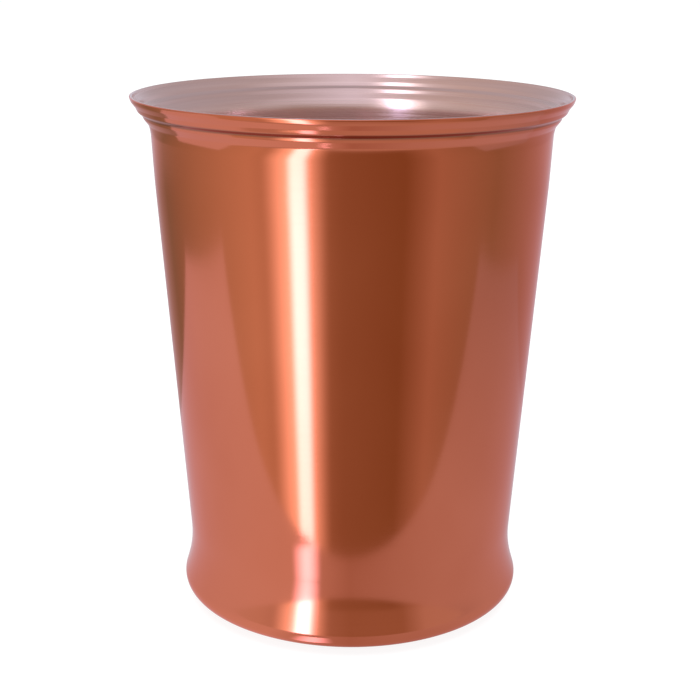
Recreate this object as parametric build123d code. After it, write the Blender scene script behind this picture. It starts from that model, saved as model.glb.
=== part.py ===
"""Julep cup: a copper shell over a steel liner, closed underneath by a copper disc.

Millimetres, +Z up. The origin is the centre of the foot, on the plane the cup stands on.
The two layers are drawn as plain tapered cups, nested, and rolled together at the lip, the
reeds, the waist and the foot. So both layers share one outline, and each lies a set depth
inside the cup's outer surface.
"""
from build123d import *
import os

# Driving dimensions
CUP_HEIGHT = 106.5
LIP_RADIUS = 44.45
COPPER_GAUGE = 0.25
STEEL_GAUGE = 0.35
SHEET = COPPER_GAUGE + STEEL_GAUGE

# Bare edge at the lip: its outer corner stands a little proud before both layers are rounded
COPPER_EDGE_ROUND = 0.12
STEEL_EDGE_ROUND = 0.20
LIP_TIP = (LIP_RADIUS + 0.033, 0.146)

# Outside of the lip and reeds: (radius, drop below the top), then the bend radius there
FLARE = ((44.22, 1.00), 1.5)
UPPER_HOLLOW = ((43.36, 2.08), 0.5)
UPPER_REED = ((42.98, 2.95), 0.9)
MIDDLE_HOLLOW = ((42.10, 3.58), 0.3)
LOWER_REED = ((41.86, 4.30), 0.85)
LOWER_HOLLOW = ((40.85, 5.60), 1.2)
SHOULDER_TOP = ((40.46, 7.00), 8.0)
SHOULDER_FOOT = ((39.95, 17.00), 200.0)

# Outside of the waist and foot: (radius, height above the table), then the bend radius there
WAIST = ((34.11, 10.63), 25.2)
BULGE = ((36.51, 2.67), 2.8)
UNDERCUT = ((32.03, 0.0), 8.0)
STANDING_RING = ((27.00, 0.0), 1.0)
FLOOR_RISE = 1.2
FLOOR_EDGE = ((25.80, FLOOR_RISE), 0.8)

# The shell's floor is left open in the middle, and a disc is soldered over the opening
FLOOR_OPENING_RADIUS = 20.0
DISC_RADIUS = 22.5
DISC_THICKNESS = 0.5


def from_top(corner):
    """A corner given by its drop below the top, as one given by its height."""
    (radius, drop), bend = corner
    return (radius, CUP_HEIGHT - drop), bend


LIP_CORNERS = [FLARE, UPPER_HOLLOW, UPPER_REED, MIDDLE_HOLLOW, LOWER_REED, LOWER_HOLLOW]
WALL_CORNERS = [SHOULDER_TOP, SHOULDER_FOOT]
FOOT_CORNERS = [WAIST, BULGE, UNDERCUT, STANDING_RING, FLOOR_EDGE]
CORNERS = [from_top(corner) for corner in LIP_CORNERS + WALL_CORNERS] + FOOT_CORNERS
START = (LIP_TIP[0], CUP_HEIGHT - LIP_TIP[1])
END = (0.0, FLOOR_RISE)


def outline(depth):
    """Half outline from the lip to the middle of the floor, set into the metal by a depth.

    Each straight run moves square to itself. A bend round the metal tightens by the depth,
    and a hollow bend opens by it, so the gap between two outlines is the same all along.
    """
    points = [Vector(*START)] + [Vector(*point) for point, _ in CORNERS] + [Vector(*END)]
    runs = [(end - start).normalized() for start, end in zip(points, points[1:])]
    inward = [Vector(run.Y, -run.X) for run in runs]
    moved = [points[0] + inward[0] * depth]
    bends = []
    for index, (_, bend) in enumerate(CORNERS):
        before, after = inward[index], inward[index + 1]
        corner = points[index + 1] + (before + after) * (depth / (1 + before.dot(after)))
        turns_round_metal = runs[index].cross(runs[index + 1]).Z < 0
        moved.append(corner)
        bends.append(bend - depth if turns_round_metal else bend + depth)
    moved.append(points[-1] + inward[-1] * depth)
    return FilletPolyline(*moved, radius=bends)


def layer_section(near, far):
    """Half section of a layer of sheet between two depths."""
    outside, inside = outline(near), outline(far)
    rim = Line(outside @ 0, inside @ 0)
    middle = Line(outside @ 1, inside @ 1)
    return make_face([*outside.edges(), rim, middle, *inside.edges()])


def round_lip(section, tip, radius):
    """Round the corner of a section that lies nearest to a tip."""
    return fillet(section.vertices().sort_by_distance(tip)[0], radius)


def turned(section):
    """Turn a half section a full turn about the cup's axis."""
    return revolve(Plane.XZ * section, Axis.Z)


def make_outer_shell():
    """Copper shell: flare, reeds, wall and foot, turned in underneath round an opening."""
    section = layer_section(0.0, COPPER_GAUGE)
    section = round_lip(section, outline(0.0) @ 0, COPPER_EDGE_ROUND)
    opening = Cylinder(FLOOR_OPENING_RADIUS, 4 * FLOOR_RISE)
    return turned(section) - opening


def make_inner_liner():
    """Steel liner: lies against the shell from the lip down and has a whole floor."""
    section = layer_section(COPPER_GAUGE, SHEET)
    section = round_lip(section, outline(SHEET) @ 0, STEEL_EDGE_ROUND)
    return turned(section)


def make_base_disc():
    """Copper disc: laps under the shell's turned-in floor, clear of the table."""
    disc = Cylinder(DISC_RADIUS, DISC_THICKNESS, align=(Align.CENTER, Align.CENTER, Align.MAX))
    return Pos(0, 0, FLOOR_RISE) * disc


PIECES = {
    "outer_shell": make_outer_shell(),
    "inner_liner": make_inner_liner(),
    "base_disc": make_base_disc(),
}

os.makedirs("parts", exist_ok=True)
for name, piece in PIECES.items():
    piece.label = name
    export_step(piece, f"parts/{name}.step")
    box = piece.bounding_box()
    print(name, round(piece.volume, 1), "mm3", box.min, box.max)
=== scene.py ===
"""Julep cup: a polished copper shell rolled over a steel liner, with a copper disc underneath."""
import bpy
import math
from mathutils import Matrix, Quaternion, Vector


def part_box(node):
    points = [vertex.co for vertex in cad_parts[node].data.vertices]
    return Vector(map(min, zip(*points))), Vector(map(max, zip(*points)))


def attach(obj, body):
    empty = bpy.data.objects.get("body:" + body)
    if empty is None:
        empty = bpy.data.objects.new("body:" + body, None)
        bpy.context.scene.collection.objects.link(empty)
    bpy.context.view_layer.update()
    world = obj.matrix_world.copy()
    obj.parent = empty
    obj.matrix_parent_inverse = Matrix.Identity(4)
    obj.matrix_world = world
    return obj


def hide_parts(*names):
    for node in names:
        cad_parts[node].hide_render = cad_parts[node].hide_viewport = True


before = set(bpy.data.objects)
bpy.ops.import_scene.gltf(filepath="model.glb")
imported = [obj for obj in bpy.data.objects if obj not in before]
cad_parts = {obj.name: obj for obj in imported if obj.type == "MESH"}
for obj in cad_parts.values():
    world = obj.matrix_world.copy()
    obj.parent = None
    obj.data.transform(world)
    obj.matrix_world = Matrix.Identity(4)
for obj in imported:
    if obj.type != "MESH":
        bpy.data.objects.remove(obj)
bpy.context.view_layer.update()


# ---------------------------------------------------------------------------
# Outer shell
# Copper sheet 0.25 mm thick, drawn as a tapered cup and rolled over the liner at the lip, the
# two reeds, the waist and the foot. It is turned in underneath round an open middle.
# ---------------------------------------------------------------------------
MM = 0.001
CUP_HEIGHT = 106.5 * MM
COPPER_GAUGE = 0.25 * MM
LIP_TIP = (44.483 * MM, CUP_HEIGHT - 0.146 * MM)
LIP_BENDS = [  # radius, drop below the top, bend
    (44.22, 1.00, 1.5), (43.36, 2.08, 0.5), (42.98, 2.95, 0.9), (42.10, 3.58, 0.3),
    (41.86, 4.30, 0.85), (40.85, 5.60, 1.2), (40.46, 7.00, 8.0), (39.95, 17.00, 200.0),
]
FOOT_BENDS = [  # radius, height, bend
    (34.11, 10.63, 25.2), (36.51, 2.67, 2.8), (32.03, 0.0, 8.0),
    (27.00, 0.0, 1.0), (25.80, 1.2, 0.8),
]
REED_GROOVE_HEIGHT = CUP_HEIGHT - 3.35 * MM  # a band of painted shade darkens the groove here
FLOOR_HEIGHT = 1.2 * MM
FLOOR_OPENING = 20.0 * MM
FLOOR_ZONE = 5 * MM  # inside the opening, only the floor lies lower than this
LIP_EDGE_RADIUS = 44.40 * MM
LIP_EDGE_HEIGHT = CUP_HEIGHT - 0.2 * MM
LIP_ROUND = 0.12 * MM

TURNS = 192
LONG_RUN = 20 * MM  # a straight run longer than this is cut into more pieces
BEND_STEP = 4  # degrees of a bend to each face
LEAST_BEND_STEPS = 5

DEEP_COPPER = (0.70, 0.205, 0.118)
BRIGHT_COPPER = (0.75, 0.235, 0.142)
GROOVE_PAINTED_SHADE = (0.33, 0.14, 0.09)
COPPER_EDGE_TINT = (1.0, 0.80, 0.82, 1)
POLISHED = (0.085, 0.13)  # least and most roughness


def deselect_all():
    """Leave nothing selected, in object mode."""
    if bpy.context.mode != "OBJECT":
        bpy.ops.object.mode_set(mode="OBJECT")
    bpy.ops.object.select_all(action="DESELECT")


def select_edges(piece, wanted):
    """In edit mode, select only the edges whose two ends both pass a test of (radius, height)."""
    bpy.ops.mesh.select_mode(type="EDGE")
    bpy.ops.mesh.select_all(action="DESELECT")
    bpy.ops.object.mode_set(mode="OBJECT")
    points = piece.data.vertices
    for edge in piece.data.edges:
        ends = [points[index].co for index in edge.vertices]
        edge.select = all(wanted(math.hypot(end.x, end.y), end.z) for end in ends)
    bpy.ops.object.mode_set(mode="EDIT")


def draw_line(here, there, pieces=1):
    """Extrude the selected end of an outline straight to a point."""
    step = (there - here) / pieces
    for _ in range(pieces):
        bpy.ops.mesh.extrude_vertices_move(TRANSFORM_OT_translate={"value": (step.x, 0, step.y)})


def draw_outline(start, corners, end):
    """Draw a half outline from a loose vertex: straight runs extruded, bends spun."""
    bpy.ops.mesh.primitive_plane_add(size=MM, location=(start.x, 0, start.y))
    bpy.ops.object.mode_set(mode="EDIT")
    bpy.ops.mesh.select_all(action="SELECT")
    bpy.ops.mesh.merge(type="CENTER")
    here = start
    points = [start] + [Vector(corner[:2]) for corner in corners] + [end]
    for before, corner, after, (_, _, bend) in zip(points, points[1:], points[2:], corners):
        run_in = (corner - before).normalized()
        run_out = (after - corner).normalized()
        turn = math.atan2(run_in.x * run_out.y - run_in.y * run_out.x, run_in.dot(run_out))
        cut = bend * math.tan(abs(turn) / 2)
        arc_start, arc_end = corner - run_in * cut, corner + run_out * cut
        square = Vector((-run_in.y, run_in.x)) * math.copysign(1, turn)
        centre = arc_start + square * bend
        draw_line(here, arc_start, 8 if (arc_start - here).length > LONG_RUN else 2)
        steps = max(LEAST_BEND_STEPS, math.ceil(abs(math.degrees(turn)) / BEND_STEP))
        bpy.ops.mesh.spin(
            steps=steps, angle=turn, center=(centre.x, 0, centre.y), axis=(0, 1, 0)
        )
        here = arc_end
    draw_line(here, end, 4)


def turn_round(piece):
    """Spin a drawn outline a full turn about the cup's axis and close the seam."""
    bpy.ops.mesh.select_all(action="SELECT")
    bpy.ops.mesh.spin(steps=TURNS, angle=2 * math.pi, center=(0, 0, 0), axis=(0, 0, 1))
    bpy.ops.mesh.select_all(action="SELECT")
    bpy.ops.mesh.remove_doubles(threshold=0.002 * MM)
    bpy.ops.mesh.normals_make_consistent(inside=False)
    deselect_all()
    piece.select_set(True)
    bpy.ops.object.transform_apply(location=True, rotation=True, scale=True)


def give_wall(piece, gauge, depth):
    """Give a skin its sheet thickness, set into the cup by a depth."""
    wall = piece.modifiers.new("wall", "SOLIDIFY")
    wall.thickness = gauge
    wall.offset = -1 - 2 * depth / gauge
    wall.use_even_offset = True
    wall.use_quality_normals = True
    bpy.context.view_layer.objects.active = piece
    bpy.ops.object.modifier_apply(modifier=wall.name)


def round_rim(piece, wanted, bend):
    """Bevel the ring of edges that pass a test."""
    deselect_all()
    piece.select_set(True)
    bpy.context.view_layer.objects.active = piece
    bpy.ops.object.mode_set(mode="EDIT")
    select_edges(piece, wanted)
    bpy.ops.mesh.bevel(offset=bend, offset_type="OFFSET", segments=4, profile=0.5, affect="EDGES")
    bpy.ops.mesh.select_all(action="SELECT")
    bpy.ops.mesh.normals_make_consistent(inside=False)
    deselect_all()
    piece.select_set(True)
    bpy.ops.object.shade_smooth()


class Finish:
    """A material's node tree, with the few calls that every finish here needs."""

    def __init__(self, name):
        self.material = bpy.data.materials.new(name)
        self.material.use_nodes = True
        self.tree = self.material.node_tree
        self.shader = self.tree.nodes["Principled BSDF"]

    def node(self, kind, **settings):
        """Add a node, with its settings and its inputs' values by name."""
        made = self.tree.nodes.new(kind)
        for key, value in settings.items():
            if key in made.bl_rna.properties:
                setattr(made, key, value)
            else:
                made.inputs[key.replace("_", " ")].default_value = value
        return made

    def link(self, source, target):
        self.tree.links.new(source, target)

    def math(self, operation, first, second=None):
        """Work out one sum of sockets or numbers."""
        made = self.node("ShaderNodeMath", operation=operation)
        for socket, value in zip(made.inputs, (first, second)):
            if isinstance(value, bpy.types.NodeSocket):
                self.link(value, socket)
            elif value is not None:
                socket.default_value = value
        return made.outputs[0]

    def lathe_place(self, slow, fast):
        """Coordinates stretched round the cup: slow round the wall, fast from lip to foot."""
        place = self.node("ShaderNodeTexCoord").outputs["Object"]
        split = self.node("ShaderNodeSeparateXYZ")
        self.link(place, split.inputs[0])
        across = self.math("MULTIPLY", split.outputs[0], split.outputs[0])
        along = self.math("MULTIPLY", split.outputs[1], split.outputs[1])
        radius = self.math("SQRT", self.math("ADD", across, along))
        down = self.math("ADD", split.outputs[2], radius)
        join = self.node("ShaderNodeCombineXYZ")
        self.link(self.math("MULTIPLY", split.outputs[0], slow), join.inputs[0])
        self.link(self.math("MULTIPLY", split.outputs[1], slow), join.inputs[1])
        self.link(self.math("MULTIPLY", down, fast), join.inputs[2])
        return join.outputs[0]

    def noise(self, place, scale, detail=2.0, roughness=0.5):
        """Noise between 0 and 1 over a place."""
        made = self.node("ShaderNodeTexNoise", Scale=scale, Detail=detail, Roughness=roughness)
        self.link(place, made.inputs["Vector"])
        return made.outputs["Fac"]

    def span(self, value, low, high, low_to, high_to):
        """Carry a value from one range to another, and hold it there."""
        made = self.node("ShaderNodeMapRange")
        self.link(value, made.inputs["Value"])
        for name, number in zip(("From Min", "From Max", "To Min", "To Max"),
                                (low, high, low_to, high_to)):
            made.inputs[name].default_value = number
        return made.outputs["Result"]

    def mix(self, factor, first, second):
        """Go from one colour to another."""
        made = self.node("ShaderNodeMix", data_type="RGBA")
        self.link(factor, made.inputs["Factor"])
        for name, value in (("A", first), ("B", second)):
            socket = [s for s in made.inputs if s.name == name and s.type == "RGBA"][0]
            if isinstance(value, bpy.types.NodeSocket):
                self.link(value, socket)
            else:
                socket.default_value = (*value, 1)
        return [s for s in made.outputs if s.type == "RGBA"][0]


deselect_all()
lip_bends = [(radius * MM, CUP_HEIGHT - drop * MM, bend * MM) for radius, drop, bend in LIP_BENDS]
foot_bends = [tuple(value * MM for value in bends) for bends in FOOT_BENDS]
draw_outline(Vector(LIP_TIP), lip_bends + foot_bends, Vector((0, FLOOR_HEIGHT)))
cup_skin = bpy.context.active_object
cup_skin.name = "cup_skin"
turn_round(cup_skin)

deselect_all()
cup_skin.select_set(True)
bpy.context.view_layer.objects.active = cup_skin
bpy.ops.object.duplicate()
shell = bpy.context.active_object
shell.name = "copper_shell"
bpy.ops.object.mode_set(mode="EDIT")
select_edges(shell, lambda radius, height: radius < FLOOR_OPENING and height < FLOOR_ZONE)
bpy.ops.mesh.delete(type="VERT")
bpy.ops.object.mode_set(mode="OBJECT")
give_wall(shell, COPPER_GAUGE, 0)
round_rim(
    shell, lambda radius, height: radius > LIP_EDGE_RADIUS and height > LIP_EDGE_HEIGHT, LIP_ROUND
)

copper = Finish("polished_copper")
copper.shader.inputs["Metallic"].default_value = 1.0
copper.shader.inputs["Specular Tint"].default_value = COPPER_EDGE_TINT
copper.shader.inputs["Anisotropic"].default_value = 0.5
copper.shader.inputs["Anisotropic Rotation"].default_value = 0.25
tangent = copper.node("ShaderNodeTangent", direction_type="RADIAL", axis="Z")
copper.link(tangent.outputs[0], copper.shader.inputs["Tangent"])
polish_lines = copper.noise(copper.lathe_place(6, 5200), 1.0, detail=3)
clouds = copper.noise(copper.lathe_place(30, 18), 1.0, detail=3)
clouded = copper.mix(copper.span(clouds, 0.35, 0.65, 0, 1), DEEP_COPPER, BRIGHT_COPPER)
height_split = copper.node("ShaderNodeSeparateXYZ")
copper.link(copper.node("ShaderNodeTexCoord").outputs["Object"], height_split.inputs[0])
# Painted shade: a dull brown band darkens the groove between the two reeds.
off_groove = copper.math(
    "ABSOLUTE", copper.math("SUBTRACT", height_split.outputs[2], REED_GROOVE_HEIGHT)
)
groove_shade_mask = copper.span(off_groove, 0.25 * MM, 0.60 * MM, 1, 0)
copper.link(
    copper.mix(groove_shade_mask, clouded, GROOVE_PAINTED_SHADE), copper.shader.inputs["Base Color"]
)
copper.link(
    copper.span(polish_lines, 0.3, 0.7, *POLISHED), copper.shader.inputs["Roughness"]
)
ripple = copper.node("ShaderNodeBump", Strength=0.12, Distance=0.02 * MM)
copper.link(polish_lines, ripple.inputs["Height"])
copper.link(ripple.outputs[0], copper.shader.inputs["Normal"])
shell.data.materials.append(copper.material)

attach(shell, "root")
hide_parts("outer_shell")


# ---------------------------------------------------------------------------
# Inner liner
# Steel sheet 0.35 mm thick, spun and left with its fine turning lines. It lies tight against
# the shell from the lip down, is held by the same reeds and waist, and has a whole floor.
# ---------------------------------------------------------------------------
STEEL_GAUGE = 0.35 * MM
LINER_EDGE_RADIUS = 43.95 * MM
LINER_EDGE_HEIGHT = CUP_HEIGHT - 0.05 * MM
LINER_ROUND = 0.20 * MM
DULL_STEEL = (0.65, 0.47, 0.45)
BRIGHT_STEEL = (0.75, 0.55, 0.52)
SPUN = (0.16, 0.28)  # least and most roughness

liner = cup_skin
liner.name = "steel_liner"
give_wall(liner, STEEL_GAUGE, COPPER_GAUGE)
round_rim(
    liner, lambda radius, height: radius < LINER_EDGE_RADIUS and height > LINER_EDGE_HEIGHT,
    LINER_ROUND,
)

steel = Finish("spun_steel")
steel.shader.inputs["Metallic"].default_value = 1.0
steel.shader.inputs["Anisotropic"].default_value = 0.6
steel.shader.inputs["Anisotropic Rotation"].default_value = 0.25
tangent = steel.node("ShaderNodeTangent", direction_type="RADIAL", axis="Z")
steel.link(tangent.outputs[0], steel.shader.inputs["Tangent"])
spun_lines = steel.noise(steel.lathe_place(10, 3600), 1.0, detail=4, roughness=0.6)
bands = steel.noise(steel.lathe_place(16, 420), 1.0, detail=2)
steel.link(
    steel.mix(steel.span(bands, 0.3, 0.7, 0, 1), DULL_STEEL, BRIGHT_STEEL),
    steel.shader.inputs["Base Color"],
)
steel.link(steel.span(spun_lines, 0.3, 0.7, *SPUN), steel.shader.inputs["Roughness"])
grooves = steel.node("ShaderNodeBump", Strength=0.3, Distance=0.03 * MM)
steel.link(spun_lines, grooves.inputs["Height"])
steel.link(grooves.outputs[0], steel.shader.inputs["Normal"])
liner.data.materials.append(steel.material)

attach(liner, "root")
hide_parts("inner_liner")


# ---------------------------------------------------------------------------
# Base disc
# Copper disc 0.5 mm thick, faced on a lathe. It laps under the shell's turned-in floor and is
# soldered there, just clear of the table.
# ---------------------------------------------------------------------------
DISC_ROUND = 0.12 * MM
DISC_FACE_INSET = 1.6 * MM
DISC_FACE_DEPTH = 0.12 * MM
SLACK = 0.01 * MM
FACED_COPPER = (0.66, 0.20, 0.115)
DULLED_COPPER = (0.52, 0.17, 0.10)
TURNED = (0.2, 0.34)  # least and most roughness

disc_low, disc_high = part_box("base_disc")
disc_radius = (disc_high.x - disc_low.x) / 2
deselect_all()
bpy.ops.mesh.primitive_cylinder_add(
    vertices=TURNS, radius=disc_radius, depth=disc_high.z - disc_low.z,
    location=(0, 0, (disc_high.z + disc_low.z) / 2),
)
disc = bpy.context.active_object
disc.name = "base_disc_soldered"
bpy.ops.object.transform_apply(location=True, rotation=True, scale=True)
bpy.ops.object.mode_set(mode="EDIT")
bpy.ops.mesh.select_mode(type="FACE")
bpy.ops.mesh.select_all(action="DESELECT")
bpy.ops.object.mode_set(mode="OBJECT")
for face in disc.data.polygons:
    face.select = face.normal.z < -0.9  # the underside
bpy.ops.object.mode_set(mode="EDIT")
bpy.ops.mesh.inset(thickness=DISC_FACE_INSET, depth=0)
bpy.ops.mesh.inset(thickness=2 * DISC_FACE_DEPTH, depth=-DISC_FACE_DEPTH)
bpy.ops.mesh.inset(thickness=DISC_FACE_INSET, depth=0)
bpy.ops.mesh.poke()
bpy.ops.object.mode_set(mode="OBJECT")
round_rim(
    disc, lambda radius, height: radius > disc_radius - SLACK and height < disc_low.z + SLACK,
    DISC_ROUND,
)
bpy.ops.object.shade_smooth_by_angle(angle=math.radians(35))

turned = Finish("turned_copper")
turned.shader.inputs["Metallic"].default_value = 1.0
turned.shader.inputs["Specular Tint"].default_value = COPPER_EDGE_TINT
facing_lines = turned.noise(turned.lathe_place(12, 4200), 1.0, detail=4)
tarnish = turned.noise(turned.lathe_place(160, 160), 1.0, detail=4)
turned.link(
    turned.mix(turned.span(tarnish, 0.35, 0.7, 0, 1), FACED_COPPER, DULLED_COPPER),
    turned.shader.inputs["Base Color"],
)
turned.link(turned.span(facing_lines, 0.3, 0.7, *TURNED), turned.shader.inputs["Roughness"])
facing = turned.node("ShaderNodeBump", Strength=0.4, Distance=0.04 * MM)
turned.link(facing_lines, facing.inputs["Height"])
turned.link(facing.outputs[0], turned.shader.inputs["Normal"])
disc.data.materials.append(turned.material)

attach(disc, "root")
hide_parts("base_disc")


# ---------------------------------------------------------------------------
# Floor and backdrop
# A plain white floor, lit through like a light table so that the shadow on it stays faint, and a
# plain white dome all round. The metal doesn't mirror them, but the next section's stage.
# ---------------------------------------------------------------------------
FLOOR_RADIUS = 8.0
FLOOR_GAP = 0.2 * MM  # below the cup, so that their faces don't meet
FLOOR_PAPER = (0.15, 0.15, 0.15, 1)
FLOOR_GLOW = 0.90
DOME_GLOW = 1.0


def seen_by(thing, camera, diffuse, glossy, shadow):
    """Which rays meet a piece of the stage."""
    thing.visible_camera = camera
    thing.visible_diffuse = diffuse
    thing.visible_glossy = glossy
    thing.visible_shadow = shadow
    thing.visible_transmission = False


deselect_all()
bpy.ops.mesh.primitive_circle_add(
    vertices=96, radius=FLOOR_RADIUS, fill_type="NGON", location=(0, 0, -FLOOR_GAP)
)
floor = bpy.context.active_object
floor.name = "stage_floor"
paper = Finish("white_paper")
paper.shader.inputs["Base Color"].default_value = FLOOR_PAPER
paper.shader.inputs["Roughness"].default_value = 0.9
paper.shader.inputs["Specular IOR Level"].default_value = 0.0
paper.shader.inputs["Emission Color"].default_value = (1, 1, 1, 1)
paper.shader.inputs["Emission Strength"].default_value = FLOOR_GLOW
floor.data.materials.append(paper.material)
seen_by(floor, camera=True, diffuse=True, glossy=False, shadow=True)

deselect_all()
bpy.ops.mesh.primitive_uv_sphere_add(segments=48, ring_count=24, radius=FLOOR_RADIUS)
dome = bpy.context.active_object
dome.name = "stage_dome"
glow = Finish("white_dome")
glow.shader.inputs["Base Color"].default_value = (0, 0, 0, 1)
glow.shader.inputs["Specular IOR Level"].default_value = 0.0
glow.shader.inputs["Emission Color"].default_value = (1, 1, 1, 1)
glow.shader.inputs["Emission Strength"].default_value = DOME_GLOW
dome.data.materials.append(glow.material)
seen_by(dome, camera=True, diffuse=False, glossy=False, shadow=False)


# ---------------------------------------------------------------------------
# Table top and studio
# The metal mirrors a white table top whose front edge lies just before the cup, a tall strip
# softbox front left that reaches below the table, and a dim warm room round them. Two small
# cards close before the foot carry the softbox's highlight on down the foot.
# ---------------------------------------------------------------------------
TABLE_X = (-0.272, 0.264)
TABLE_Y = (-0.068, 0.100)
TABLE_SHADE_FROM, TABLE_SHADE_TO = 0.07, 0.25  # painted shade: the table top's glow darkens towards its right end
TABLE_LIT, TABLE_SHADED = 1.0, 0.76


def bearing_of(tree, place):
    """How far round the cup a direction or place lies, 0 to 1, with the camera's side at 0.5."""
    split = tree.nodes.new("ShaderNodeSeparateXYZ")
    tree.links.new(place, split.inputs[0])
    flip = tree.nodes.new("ShaderNodeMath")
    flip.operation = "MULTIPLY"
    flip.inputs[1].default_value = -1
    tree.links.new(split.outputs[1], flip.inputs[0])
    bearing = tree.nodes.new("ShaderNodeMath")
    bearing.operation = "ARCTAN2"
    tree.links.new(split.outputs[0], bearing.inputs[0])
    tree.links.new(flip.outputs[0], bearing.inputs[1])
    scaled = tree.nodes.new("ShaderNodeMapRange")
    scaled.inputs["From Min"].default_value = -math.pi
    scaled.inputs["From Max"].default_value = math.pi
    tree.links.new(bearing.outputs[0], scaled.inputs["Value"])
    return scaled.outputs[0]


def ramp(tree, bearing, stops):
    """A colour ramp round the cup: (degrees from the camera's side, red, green, blue).

    Degrees go from -180 through -90 on the left to 180. The first two stops are the two ends.
    """
    made = tree.nodes.new("ShaderNodeValToRGB")
    made.color_ramp.interpolation = "LINEAR"
    elements = made.color_ramp.elements
    for index, (degrees, *colour) in enumerate(stops):
        at = (degrees + 180) / 360
        element = elements[index] if index < 2 else elements.new(at)
        element.position = at
        element.color = (*colour, 1)
    tree.links.new(bearing, made.inputs[0])
    return made.outputs[0]


# The table top is a glowing sheet seen only in the metal; the light and shade of a lit table are
# painted into its glow.
deselect_all()
bpy.ops.mesh.primitive_plane_add(size=1.0, location=(sum(TABLE_X) / 2, sum(TABLE_Y) / 2, 0))
table = bpy.context.active_object
table.name = "stage_table_top"
table.scale = (TABLE_X[1] - TABLE_X[0], TABLE_Y[1] - TABLE_Y[0], 1)
bpy.ops.object.transform_apply(location=True, rotation=True, scale=True)
board = Finish("table_painted_light")
board.tree.nodes.remove(board.shader)
board_place = board.node("ShaderNodeTexCoord").outputs["Object"]
board_painted_light = board.node("ShaderNodeEmission")
# painted light and shade on the table top: brightest front left, dimmest straight in front
board.link(ramp(board.tree, bearing_of(board.tree, board_place), [
    (-180, 0.65, 0.65, 0.75), (180, 0.65, 0.65, 0.75), (-30, 0.80, 0.75, 0.75),
    (0, 0.50, 0.40, 0.35), (45, 0.60, 0.55, 0.55),
]), board_painted_light.inputs["Color"])
board_split = board.node("ShaderNodeSeparateXYZ")
board.link(board_place, board_split.inputs[0])
board.link(
    board.span(
        board_split.outputs[0], TABLE_SHADE_FROM, TABLE_SHADE_TO, TABLE_LIT, TABLE_SHADED
    ),
    board_painted_light.inputs["Strength"],
)
board.link(board_painted_light.outputs[0], board.tree.nodes["Material Output"].inputs["Surface"])
table.data.materials.append(board.material)
seen_by(table, camera=False, diffuse=False, glossy=True, shadow=False)


def card(name, place, turns, size, colour, glow, soft, soft_ends=0.001):
    """A glowing card: soft along its two long edges and, if told, along its short ones."""
    deselect_all()
    bpy.ops.mesh.primitive_plane_add(size=1.0, location=place)
    made = bpy.context.active_object
    made.name = name
    made.scale = (*size, 1)
    made.rotation_euler = [math.radians(turn) for turn in turns]
    finish = Finish(name)
    finish.tree.nodes.remove(finish.shader)
    split = finish.node("ShaderNodeSeparateXYZ")
    finish.link(finish.node("ShaderNodeTexCoord").outputs["Object"], split.inputs[0])
    glow_node = finish.node("ShaderNodeEmission", Color=(*colour, 1))
    strength = glow
    for across, edge_width in zip(split.outputs, (soft, soft_ends)):
        edge = finish.math("SUBTRACT", 0.5, finish.math("ABSOLUTE", across))
        fade = finish.node("ShaderNodeMapRange", interpolation_type="SMOOTHSTEP")
        finish.link(edge, fade.inputs["Value"])
        fade.inputs["From Max"].default_value = edge_width
        strength = finish.math("MULTIPLY", fade.outputs["Result"], strength)
    finish.link(strength, glow_node.inputs["Strength"])
    clear = finish.node("ShaderNodeBsdfTransparent")
    add = finish.node("ShaderNodeAddShader")
    finish.link(glow_node.outputs[0], add.inputs[0])
    finish.link(clear.outputs[0], add.inputs[1])
    finish.link(add.outputs[0], finish.tree.nodes["Material Output"].inputs["Surface"])
    made.data.materials.append(finish.material)
    seen_by(made, camera=False, diffuse=False, glossy=True, shadow=False)
    return made


def round_the_cup(azimuth, distance, height):
    """A place by its azimuth from the camera's side, its distance and its height."""
    turn = math.radians(azimuth)
    return Vector((math.sin(turn) * distance, -math.cos(turn) * distance, height))


STRIP_LIGHT = (1.0, 1.0, 1.7)
SPILL_LIGHT = (1.0, 1.0, 1.0)
STRIP_BEARING = -30
SPILL_BEARING = -32
FOOT_CARD_PLACE = (-0.0193, -0.0517, 0.0054)
FOOT_CARD_SIZE = (0.015, 0.0104)
FOOT_CARD_TURN = -32
RING_CARD_PLACE = (-0.0092, -0.0385, 0.0003)
RING_CARD_SIZE = (0.011, 0.007)
RING_CARD_TURN = -15

card("stage_strip", round_the_cup(STRIP_BEARING, 1.2, -0.2), (90, 0, STRIP_BEARING), (0.32, 4.4),
     STRIP_LIGHT, glow=2.6, soft=0.36, soft_ends=0.35)
card("stage_strip_spill", round_the_cup(SPILL_BEARING, 1.35, 0.2), (90, 0, SPILL_BEARING),
     (1.0, 3.6), SPILL_LIGHT, glow=1.4, soft=0.50)
# Painted highlight: two small glowing cards, seen only in the metal, one upright before the foot
# and one lying on the table, carry the softbox's highlight down the foot where no lamp stands.
card("stage_painted_highlight_foot", FOOT_CARD_PLACE, (90, 0, FOOT_CARD_TURN), FOOT_CARD_SIZE,
     STRIP_LIGHT, glow=2.5, soft=0.50, soft_ends=0.14)
card("stage_painted_highlight_ring", RING_CARD_PLACE, (0, 0, RING_CARD_TURN), RING_CARD_SIZE,
     STRIP_LIGHT, glow=1.7, soft=0.50)

world = bpy.data.worlds.new("studio")
bpy.context.scene.world = world
world.use_nodes = True
room_tree = world.node_tree
background = room_tree.nodes["Background"]
direction = room_tree.nodes.new("ShaderNodeTexCoord").outputs["Generated"]
direction_parts = room_tree.nodes.new("ShaderNodeSeparateXYZ")
room_tree.links.new(direction, direction_parts.inputs[0])
bearing = bearing_of(room_tree, direction)
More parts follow.
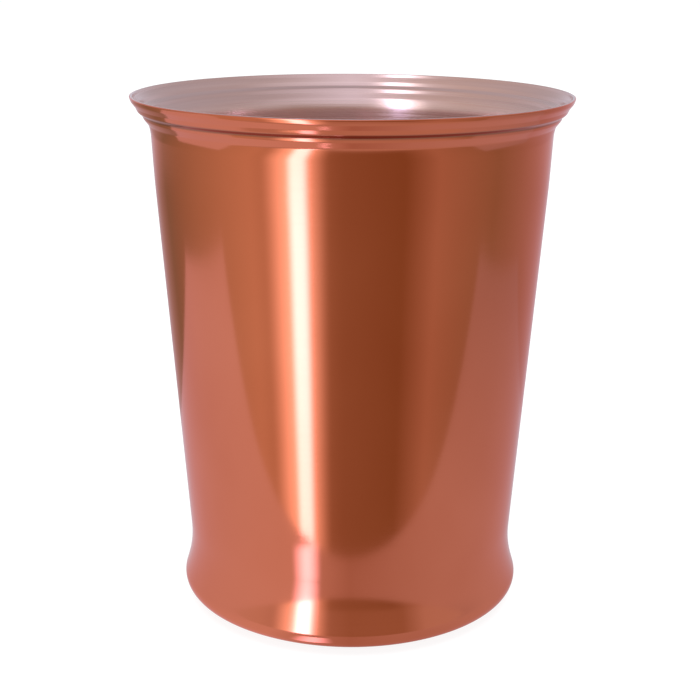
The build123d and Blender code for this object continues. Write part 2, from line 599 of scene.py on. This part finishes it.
# below the table: pale behind and front left, dark back left, in front and on the right
low_room = ramp(room_tree, bearing, [
    (-180, 0.70, 0.60, 0.70), (180, 0.70, 0.60, 0.70), (-135, 0.30, 0.30, 0.20),
    (-60, 0.70, 0.60, 0.45), (-5, 0.35, 0.25, 0.15), (30, 0.30, 0.20, 0.10),
    (50, 0.50, 0.40, 0.30), (90, 0.35, 0.30, 0.20),
])
# underneath: the same pale tone all round
under_room = ramp(room_tree, bearing, [
    (-180, 0.60, 0.55, 0.50), (180, 0.60, 0.55, 0.50),
])
# about level: pale all round, but for a dim warm stretch in front
far_room = ramp(room_tree, bearing, [
    (-180, 0.70, 0.70, 0.80), (180, 0.70, 0.70, 0.80), (-60, 0.70, 0.65, 0.60),
    (0, 0.40, 0.30, 0.20), (35, 0.40, 0.30, 0.20), (50, 0.60, 0.55, 0.50),
])
# above: brightest over the camera
high_room = ramp(room_tree, bearing, [
    (-180, 0.55, 0.55, 0.60), (180, 0.55, 0.55, 0.60), (-75, 0.70, 0.60, 0.55),
    (0, 1.00, 1.00, 1.10), (75, 0.60, 0.55, 0.55),
])


def rise(low, high, below, above):
    """Go from one ramp to another as the direction rises between two angles, in degrees."""
    lift = room_tree.nodes.new("ShaderNodeMapRange")
    lift.interpolation_type = "SMOOTHSTEP"
    lift.inputs["From Min"].default_value = math.sin(math.radians(low))
    lift.inputs["From Max"].default_value = math.sin(math.radians(high))
    room_tree.links.new(direction_parts.outputs[2], lift.inputs["Value"])
    blend = room_tree.nodes.new("ShaderNodeMix")
    blend.data_type = "RGBA"
    room_tree.links.new(lift.outputs[0], blend.inputs["Factor"])
    colour_inputs = [socket for socket in blend.inputs if socket.type == "RGBA"]
    room_tree.links.new(below, colour_inputs[0])
    room_tree.links.new(above, colour_inputs[1])
    return [socket for socket in blend.outputs if socket.type == "RGBA"][0]


room = rise(-44, -36, under_room, low_room)
room = rise(-12, -6, room, far_room)
room_tree.links.new(rise(8, 22, room, high_room), background.inputs["Color"])

light_data = bpy.data.lights.new("overhead_softbox", "AREA")
light_data.shape = "DISK"
light_data.size = 2.4
light_data.energy = 60.0
overhead = bpy.data.objects.new("overhead_softbox", light_data)
bpy.context.scene.collection.objects.link(overhead)
overhead.location = (0, -0.1, 2.0)
overhead.visible_glossy = False


# ---------------------------------------------------------------------------
# Camera
# A short telephoto about 285 mm in front of the cup's axis and a little above the lip. It looks
# down into the mouth and leans by about a third of a degree.
# ---------------------------------------------------------------------------
CAMERA_PLACE = Vector((-0.23, -284.54, 135.2)) * MM
CAMERA_PITCH = math.radians(73.84)
CAMERA_ROLL = math.radians(0.30)

camera_data = bpy.data.cameras.new("camera")
camera_data.sensor_width = 36.0
camera_data.lens = 72.0
camera = bpy.data.objects.new("camera", camera_data)
bpy.context.scene.collection.objects.link(camera)
camera.location = CAMERA_PLACE
camera.rotation_mode = "QUATERNION"
look = Vector((0, math.sin(CAMERA_PITCH), -math.cos(CAMERA_PITCH)))
turned_look = look.to_track_quat("-Z", "Y")
camera.rotation_quaternion = turned_look @ Quaternion((0, 0, 1), CAMERA_ROLL)
bpy.context.scene.camera = camera

scene = bpy.context.scene
scene.view_settings.view_transform = "Standard"
scene.view_settings.look = "None"
